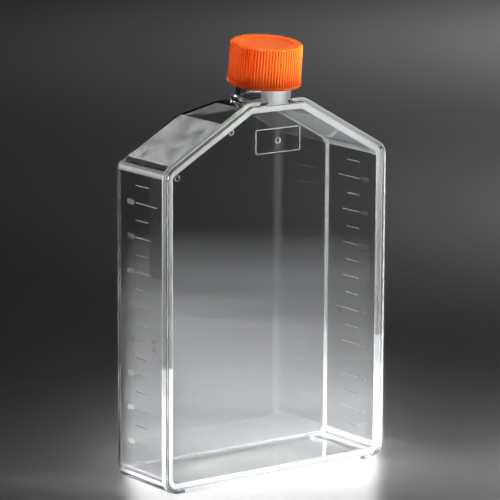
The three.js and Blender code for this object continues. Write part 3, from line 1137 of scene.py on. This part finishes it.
def rib_path(cap):
    """The line that one rib follows, up the skirt and over the rounded edge, as a curve's data."""
    sunk = cap.rib_width / 2
    shoulder = cap.height - cap.edge_radius
    points = [(cap.skirt_radius - sunk, cap.lip_height - sunk), (cap.skirt_radius - sunk, cap.lip_height)]
    points += [
        (cap.top_radius - sunk - cap.edge_radius * (1 - c), shoulder + (cap.edge_radius - sunk) * s * 0.95)
        for s, c in quarter(6)
    ]
    curve = bpy.data.curves.new("rib path", "CURVE")
    curve.dimensions = "3D"
    spline = curve.splines.new("POLY")
    spline.points.add(len(points) - 1)
    for point, (radius, height) in zip(spline.points, points):
        point.co = (radius, 0.0, height, 1.0)
    return curve


def rib_tree():
    """Sweeps a round section along a rib's path and sets ribs all round the Z axis."""
    inputs = [
        ("Count", "NodeSocketInt"), ("Rib Width", "NodeSocketFloat"), ("Material", "NodeSocketMaterial"),
    ]
    tree, size = new_tree("Rib ring", inputs)
    radius = math_node(tree, "MULTIPLY", size["Rib Width"], 0.5)
    section = node(tree, "GeometryNodeCurvePrimitiveCircle", Resolution=10, Radius=radius).outputs[0]
    path = size["Geometry"]
    sweep = node(tree, "GeometryNodeCurveToMesh", Curve=path, Profile_Curve=section, Fill_Caps=True)
    spots = node(tree, "GeometryNodePoints", Count=size["Count"])
    share = math_node(tree, "DIVIDE", tree.nodes.new("GeometryNodeInputIndex").outputs[0], size["Count"])
    turn = vector_node(tree, Z=math_node(tree, "MULTIPLY", share, 2 * math.pi))
    places, shape = spots.outputs[0], sweep.outputs[0]
    spread = node(tree, "GeometryNodeInstanceOnPoints", Points=places, Instance=shape, Rotation=turn)
    real = node(tree, "GeometryNodeRealizeInstances", Geometry=spread.outputs[0])
    end_tree(tree, real.outputs[0], size["Material"])
    return tree


class FLASK_OT_screw_cap(bpy.types.Operator):
    """Builds the ribbed screw cap with its thread, bead and shallow recess"""

    bl_idname = "culture_flask.screw_cap"
    bl_label = "Screw cap"

    def execute(self, context):
        cap, neck = settings().cap, settings().neck
        upright = neck_matrix() @ Matrix.Translation((0.0, 0.0, cap.base))
        material = orange_plastic()
        shell = add_object("screw_cap_shell", turned(cap_profile(cap)))
        shell = combine(shell, turned(hollow_cap_profile(cap)), "DIFFERENCE")
        start = neck.ridge_start - cap.base - neck.pitch / 2
        ridge = thread_ridge(neck, cap.hollow_radius, -neck.ridge_rise, start)
        shell = smooth(combine(shell, ridge, "UNION"), 40.0)
        shell.data.transform(upright)
        finish_piece(shell, material, "screw_cap", body="cap", slot="orange_polyethylene")
        ribs = run_tree(
            "screw_cap_ribs", rib_path(cap), rib_tree(),
            count=cap.ribs, rib_width=cap.rib_width, material=material,
        )
        ribs = smooth(ribs, 60.0)
        ribs.data.transform(upright)
        finish_piece(ribs, material, body="cap", slot="orange_polyethylene")
        return {"FINISHED"}


class FLASK_OT_sealing_disc(bpy.types.Operator):
    """Builds the foam disc under the cap's ceiling"""

    bl_idname = "culture_flask.sealing_disc"
    bl_label = "Sealing disc"

    def execute(self, context):
        cap = settings().cap
        top = cap.base + cap.height - cap.ceiling - cap.disc_play
        low = top - cap.disc_thickness
        edge = cap.disc_thickness / 4
        profile = [(0.0, low)]
        profile += [(cap.disc_radius - edge * (1 - s), low + edge * (1 - c)) for s, c in quarter()]
        profile += [(cap.disc_radius - edge * (1 - c), top - edge * (1 - s)) for s, c in quarter()]
        profile += [(0.0, top)]
        disc = smooth(add_object("sealing_disc", turned(profile), neck_matrix()))
        finish_piece(disc, foam_plastic(), "cap_liner", body="sealing_disc", slot="white_foam")
        return {"FINISHED"}


# ------------------------------------------------------------------------------------ stage


def floor_material():
    """A plain pale floor."""
    return new_material("Pale floor", settings().finishes.floor, Roughness=0.55)[0]


def looking(place, direction, turn):
    """The matrix of a lamp or camera at a place that looks along a direction, turned about it."""
    facing = direction.to_track_quat("-Z", "Y").to_matrix().to_4x4()
    return Matrix.Translation(place) @ facing @ Matrix.Rotation(turn, 4, "Z")


def lamp(name, size, place, target, power, spread=180.0, tint=WHITE, turn=0.0):
    """A rectangular lamp that faces its target; its spread and its turn about its beam are in degrees."""
    data = bpy.data.lights.new(name, "AREA")
    data.shape = "RECTANGLE"
    data.size, data.size_y = size
    data.energy = power
    data.spread = math.radians(spread)
    data.color = tint
    put(name, data).matrix_world = looking(place, Vector(target) - Vector(place), math.radians(turn))


def add_camera(stage):
    """The camera, by its turn, height and distance from its aim."""
    data = bpy.data.cameras.new("camera")
    data.lens = stage.lens
    data.sensor_width = 36.0
    data.clip_end = 50.0
    camera = put("camera", data)
    level = math.cos(stage.elevation)
    x, y = -math.sin(stage.azimuth) * level, -math.cos(stage.azimuth) * level
    away = Vector((x, y, math.sin(stage.elevation)))
    camera.matrix_world = looking(Vector(stage.aim) + away * stage.distance, -away, -stage.roll)
    bpy.context.scene.camera = camera


def spot(behind, right, height):
    """A place by how far it lies behind the flask, to its right and above the floor, seen by the camera."""
    azimuth = settings().stage.azimuth
    along = Vector((math.sin(azimuth), math.cos(azimuth), 0.0))
    across = Vector((along.y, -along.x, 0.0))
    return along * behind + across * right + Vector((0.0, 0.0, 1.0)) * height


def round_about(bearing, distance, height):
    """A place by its bearing from straight behind the flask, in degrees to the right."""
    turn = math.radians(bearing)
    return spot(distance * math.cos(turn), distance * math.sin(turn), height)


def light_floor_near(stage):
    """Narrow beams on the floor round the flask."""
    # A long pool of light on the floor, as wide as the flask looks and fading out behind it.
    low = math.radians(11.0)
    for step, power in enumerate((0.01, 0.048, 0.056, 0.066, 0.04, 0.017, 0.009, 0.009, 0.008)):
        behind = step * 0.08 - 0.11
        size = (0.075 * (stage.distance + behind) - 0.012, 0.147 * math.sin(low))
        place = spot(behind - 0.3 * math.cos(low), 0.0, 0.3 * math.sin(low))
        lamp("pool", size, place, spot(behind, 0.0, 0.0), power, 3.0)
    # Lit patches of the floor out of the camera's view, which show in the rounded edges.
    high = math.radians(60.0)
    for behind, right, power in ((0.35, -0.33, 0.4), (-0.2, 0.27, 0.12)):
        place = spot(behind - 0.5 * math.cos(high), right, 0.5 * math.sin(high))
        lamp("patch", (0.18, 0.2), place, spot(behind, right, 0.0), power, 6.0)


def light_flask():
    """Beams in front of, beside and behind the flask, which show in its walls, flange and neck."""
    lamp("front", (0.17, 0.15), spot(-0.5, 0.0, 0.12), spot(0.0, 0.0, 0.12), 0.022, 6.0)
    lamp("left", (0.12, 0.13), round_about(-105.0, 0.6, 0.11), spot(0.0, 0.0, 0.11), 0.02, 6.0)
    for bearing, power in ((80.0, 0.022), (115.0, 0.018), (-28.0, 0.006)):
        lamp("neck", (0.12, 0.1), round_about(bearing, 0.4, 0.215), spot(0.0, 0.0, 0.205), power, 20.0)
    lamp("shoulder", (0.12, 0.34), spot(0.12, -0.52, 0.25), spot(-0.04, -0.05, 0.163), 0.017, 34.0)


def light_cap():
    """Level beams at the height of the cap, and two above it. Three are tinted green to shift its colour."""
    middle = spot(0.0, 0.0, 0.218)
    for bearing, power, tint in ((75.0, 0.014, GREEN), (110.0, 0.013, GREEN), (180.0, 0.005, WHITE)):
        lamp("cap", (0.06, 0.022), round_about(bearing, 0.4, 0.218), middle, power, 3.0, tint)
    lamp("cap top", (0.05, 0.05), (0.0, -0.006, 0.42), (0.0, -0.006, 0.2), 0.014, 3.0, PALE_GREEN)
    lamp("cap sheen", (0.2, 0.12), spot(0.8, 0.0, 0.39), spot(0.0, 0.0, 0.226), 0.0006, 12.0)


def light_right(stage):
    """Wide lamps that make the floor brighter to the right."""
    turn = -math.degrees(stage.azimuth)
    for behind, right, height, power in ((1.6, 0.6, 0.5, 0.35), (0.7, 0.5, 0.4, 0.18)):
        place = spot(behind, right, height)
        lamp("floor", (0.3, 0.3), place, spot(behind, right * 0.8, 0.0), power, 100.0, turn=turn)
    lamp("near right", (0.2, 0.2), spot(-0.05, 0.33, 0.18), spot(-0.05, 0.3, 0.0), 0.16, 120.0, turn=turn)
    lamp("far right", (0.3, 1.6), spot(1.2, 0.9, 0.8), spot(1.2, 0.6, 0.0), 0.57, 100.0, turn=turn)


class FLASK_OT_stage(bpy.types.Operator):
    """Builds the floor, the lamps and the camera"""

    bl_idname = "culture_flask.stage"
    bl_label = "Stage"

    def execute(self, context):
        stage, finishes = settings().stage, settings().finishes
        bm = bmesh.new()
        corners = rectangle(stage.floor_size, stage.floor_size)
        bm.faces.new([bm.verts.new((*corner, 0.0)) for corner in corners])
        floor = add_object("floor", bm)
        floor.data.materials.append(floor_material())
        world = bpy.data.worlds.new("surround")
        world.use_nodes = True
        world.node_tree.nodes["Background"].inputs["Color"].default_value = (*finishes.surround, 1.0)
        context.scene.world = world
        context.scene.view_settings.view_transform = "Standard"
        # Most lamps are narrow beams set for this camera, so the stage looks patchy from other sides.
        # Their powers began as the results of a least-squares fit, and most were then changed.
        light_floor_near(stage)
        light_flask()
        light_cap()
        light_right(stage)
        add_camera(stage)
        return {"FINISHED"}


# ------------------------------------------------------------------------------------ panel and run

OPERATORS = (
    FLASK_OT_stage,
    FLASK_OT_body,
    FLASK_OT_cover_plate,
    FLASK_OT_weld_seam,
    FLASK_OT_label_frame,
    FLASK_OT_ejector_rings,
    FLASK_OT_volume_marks,
    FLASK_OT_volume_numbers,
    FLASK_OT_matt_strip,
    FLASK_OT_writing_panels,
    FLASK_OT_screw_cap,
    FLASK_OT_sealing_disc,
)


class FLASK_PT_panel(bpy.types.Panel):
    """Lists the pieces of the flask"""

    bl_label = "Culture Flask"
    bl_idname = "FLASK_PT_panel"
    bl_space_type = "VIEW_3D"
    bl_region_type = "UI"
    bl_category = "Culture Flask"

    def draw(self, context):
        for operator in OPERATORS:
            self.layout.operator(operator.bl_idname)


CLASSES = (
    FlaskSizes, NeckSizes, CapSizes, MarkSizes, Finishes, StageSizes, CultureFlask,
    *OPERATORS, FLASK_PT_panel,
)


def register():
    """Adds the classes and the scene's settings."""
    for item in CLASSES:
        bpy.utils.register_class(item)
    bpy.types.Scene.culture_flask = PointerProperty(type=CultureFlask)


def unregister():
    """Takes the classes and the scene's settings away."""
    del bpy.types.Scene.culture_flask
    for item in reversed(CLASSES):
        bpy.utils.unregister_class(item)


def main():
    """Builds everything."""
    register()
    for operator in OPERATORS:
        group, name = operator.bl_idname.split(".")
        getattr(getattr(bpy.ops, group), name)()


if __name__ == "__main__":
    main()
